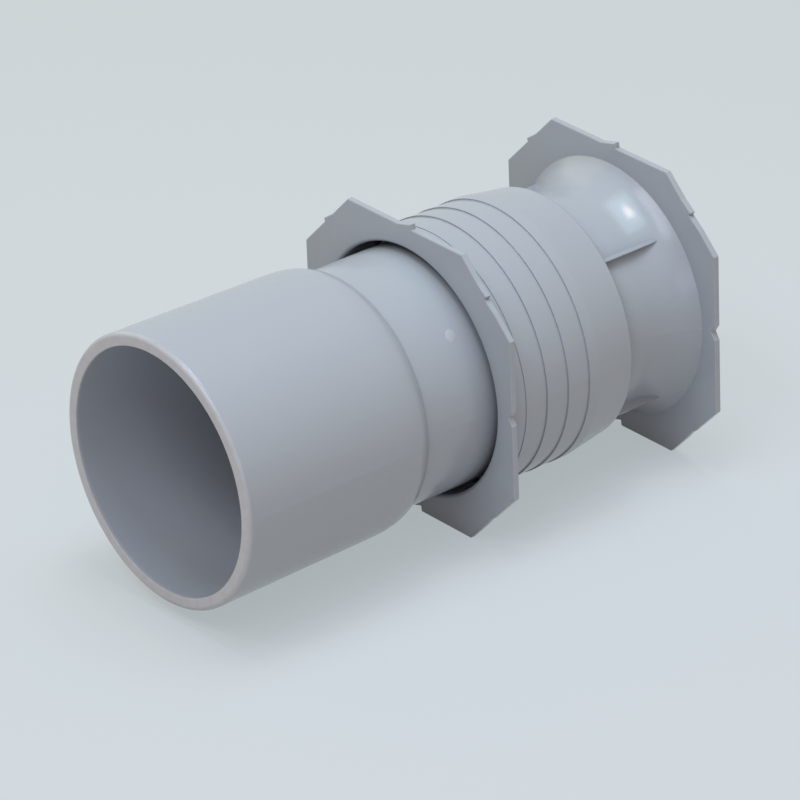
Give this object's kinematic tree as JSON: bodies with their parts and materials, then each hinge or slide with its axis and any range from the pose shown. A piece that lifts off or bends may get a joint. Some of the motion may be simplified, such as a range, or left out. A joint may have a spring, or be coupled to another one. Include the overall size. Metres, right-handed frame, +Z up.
{
  "type": "duct bell mouth",
  "caption": "Cable duct wall sleeve: a ringed sleeve between octagonal flanges with a bell mouth, and a pipe socket that slides and turns in it on a rubber seal.",
  "frame": {"origin": "on the axis at the outer face of the rear flange, in the middle of the bell mouth", "axes": "+Y along the axis out of the bell mouth, +Z up, so the pipe socket opens toward -Y and the flange sides are level and upright"},
  "size_m": [0.1442, 0.2673, 0.1445],
  "materials": {
    "grey_pvc": "satin",
    "seal_rubber": "matte"
  },
  "bodies": {
    "bell": {"bell_body": "grey_pvc"},
    "seal": {"seal_ring": "seal_rubber"},
    "socket": {"pipe_socket": "grey_pvc"}
  },
  "joints": [
    {"name": "socket_slide", "type": "slide", "parent": "bell", "child": "seal", "axis": [0, 1, 0], "range_m": [-0.013, 0.027]},
    {"name": "socket_turn", "type": "hinge", "parent": "seal", "child": "socket", "pos_m": [0, -0.0945, 0], "axis": [0, 1, 0], "continuous": true}
  ]
}
